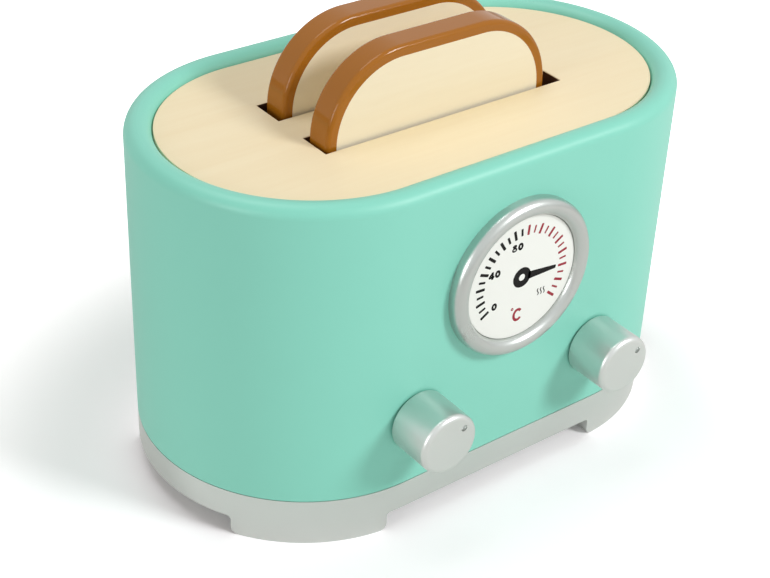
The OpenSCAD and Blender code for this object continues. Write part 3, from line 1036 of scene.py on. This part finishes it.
def turn_knob(side):
    low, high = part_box(f"knob_{side}")
    middle = (low + high) / 2
    radius = (high.x - low.x) / 2
    back_end = (middle.x, high.y, middle.z)
    front_end = (middle.x, low.y, middle.z)
    obj = peg(f"turning_knob_{side}", radius, back_end, front_end, sides=96)
    take_up(obj)
    bpy.ops.object.mode_set(mode="EDIT")
    pick(obj, "EDGE", lambda e: all(at(v.co.y, low.y) for v in e.verts))
    bpy.ops.mesh.bevel(offset=knob_round, segments=8, affect="EDGES", clamp_overlap=False)
    pick(obj, "EDGE", lambda e: all(at(v.co.y, high.y) for v in e.verts))
    bpy.ops.mesh.bevel(offset=knob_back_edge, segments=2, affect="EDGES", clamp_overlap=False)
    leave_edit()
    bpy.ops.object.select_all(action="DESELECT")
    bpy.ops.mesh.primitive_uv_sphere_add(
        segments=24,
        ring_count=12,
        radius=dimple_r,
        location=(
            middle.x + dimple_at * math.cos(dimple_angle),
            low.y + dimple_sink,
            middle.z + dimple_at * math.sin(dimple_angle),
        ),
    )
    cut_with(obj, [bpy.context.object])
    polish(obj)
    dress(obj, silver_paint)
    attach(obj, f"knob_{side}")
    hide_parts(f"knob_{side}")


for side in ("left", "right"):
    turn_knob(side)


# ---- Lever ----
# A square beech arm comes out of the slot in the right end and carries a small turned knob,
# sprayed silver like the others.
lever_low, lever_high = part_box("lever_knob")
lever_middle = (lever_low + lever_high) / 2
lever_r = (lever_high.y - lever_low.y) / 2
lever = peg(
    "lever_grip",
    lever_r,
    (lever_low.x, lever_middle.y, lever_middle.z),
    (lever_high.x, lever_middle.y, lever_middle.z),
    sides=72,
)
take_up(lever)
bpy.ops.object.mode_set(mode="EDIT")
pick(lever, "EDGE", lambda e: all(at(v.co.x, lever_high.x) for v in e.verts))
bpy.ops.mesh.bevel(offset=(lever_high.x - lever_low.x) / 2, segments=12, affect="EDGES", clamp_overlap=False)
leave_edit()
polish(lever)
dress(lever, silver_paint)
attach(lever, "carriage")
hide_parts("lever_knob")


# ---- Inner works ----
# What shows only through the slots, or not at all: the plywood tray with its rails, beech arm,
# dowels and collars, ground steel rods, zinc-plated screws, white bushes and black stop rings.
beech = grained("beech", (0.74, 0.52, 0.30), (0.58, 0.36, 0.18), 0.9, (0.5, 0.65))
bush_plastic = painted("bush_plastic", (0.80, 0.80, 0.77), (0.77, 0.77, 0.74), (0.35, 0.45), relief=0.01)
ring_rubber = painted("ring_rubber", (0.02, 0.02, 0.02), (0.012, 0.012, 0.012), (0.6, 0.75), relief=0.03)
zinc_steel = painted(
    "zinc_steel", (0.62, 0.63, 0.66), (0.50, 0.51, 0.54), (0.25, 0.4), relief=0.01, metallic=1.0
)
rod_steel = painted(
    "rod_steel", (0.56, 0.57, 0.58), (0.48, 0.49, 0.50), (0.15, 0.25), relief=0.004, metallic=1.0
)
inner_finish = {
    "tray": birch,
    "rail_front": birch,
    "rail_middle": birch,
    "rail_rear": birch,
    "lever_arm": beech,
    "guide_bush_left": bush_plastic,
    "guide_bush_right": bush_plastic,
    "stop_ring_left": ring_rubber,
    "stop_ring_right": ring_rubber,
    "guide_rod_left": rod_steel,
    "guide_rod_right": rod_steel,
    "base_screws": zinc_steel,
    "lever_screws": zinc_steel,
    "knob_left_shaft": beech,
    "knob_right_shaft": beech,
    "knob_left_collar": beech,
    "knob_right_collar": beech,
}
for node, finish in inner_finish.items():
    dress(frame["nodes"][node], finish)


# ---- Springs ----
# A compression spring of zinc-plated wire stands round each rod, between the base's plug and the
# bush above. Pressing the lever down pushes its turns together.
spring_r = 5.2 * MM
wire_r = 0.6 * MM
spring_turns = 7
wire_sides = 8
turn_steps = 24


def wind_spring(side):
    low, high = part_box(f"spring_{side}")
    free_length = high.z - low.z
    obj = fresh(
        f"wound_spring_{side}",
        bpy.ops.mesh.primitive_circle_add,
        vertices=wire_sides,
        radius=wire_r,
        location=(spring_r, 0, wire_r),
        rotation=(math.pi / 2, 0, 0),
    )
    bpy.ops.object.mode_set(mode="OBJECT")
    coil = obj.modifiers.new("coil", "SCREW")
    coil.axis = "Z"
    coil.iterations = spring_turns
    coil.screw_offset = (free_length - 2 * wire_r) / spring_turns
    coil.steps = coil.render_steps = turn_steps
    bpy.ops.object.modifier_apply(modifier=coil.name)
    bpy.ops.object.mode_set(mode="EDIT")
    bpy.ops.mesh.select_all(action="SELECT")
    bpy.ops.mesh.fill_holes(sides=0)
    bpy.ops.mesh.select_all(action="SELECT")
    bpy.ops.transform.translate(value=((low.x + high.x) / 2, (low.y + high.y) / 2, low.z))
    leave_edit()
    polish(obj, 50)
    dress(obj, zinc_steel)
    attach(obj, "housing")
    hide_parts(f"spring_{side}")
    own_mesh(obj)


for side in ("left", "right"):
    wind_spring(side)


# ---- Size ----
# The box of the finished pieces that are shown, leaving out the floor.
low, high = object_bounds()
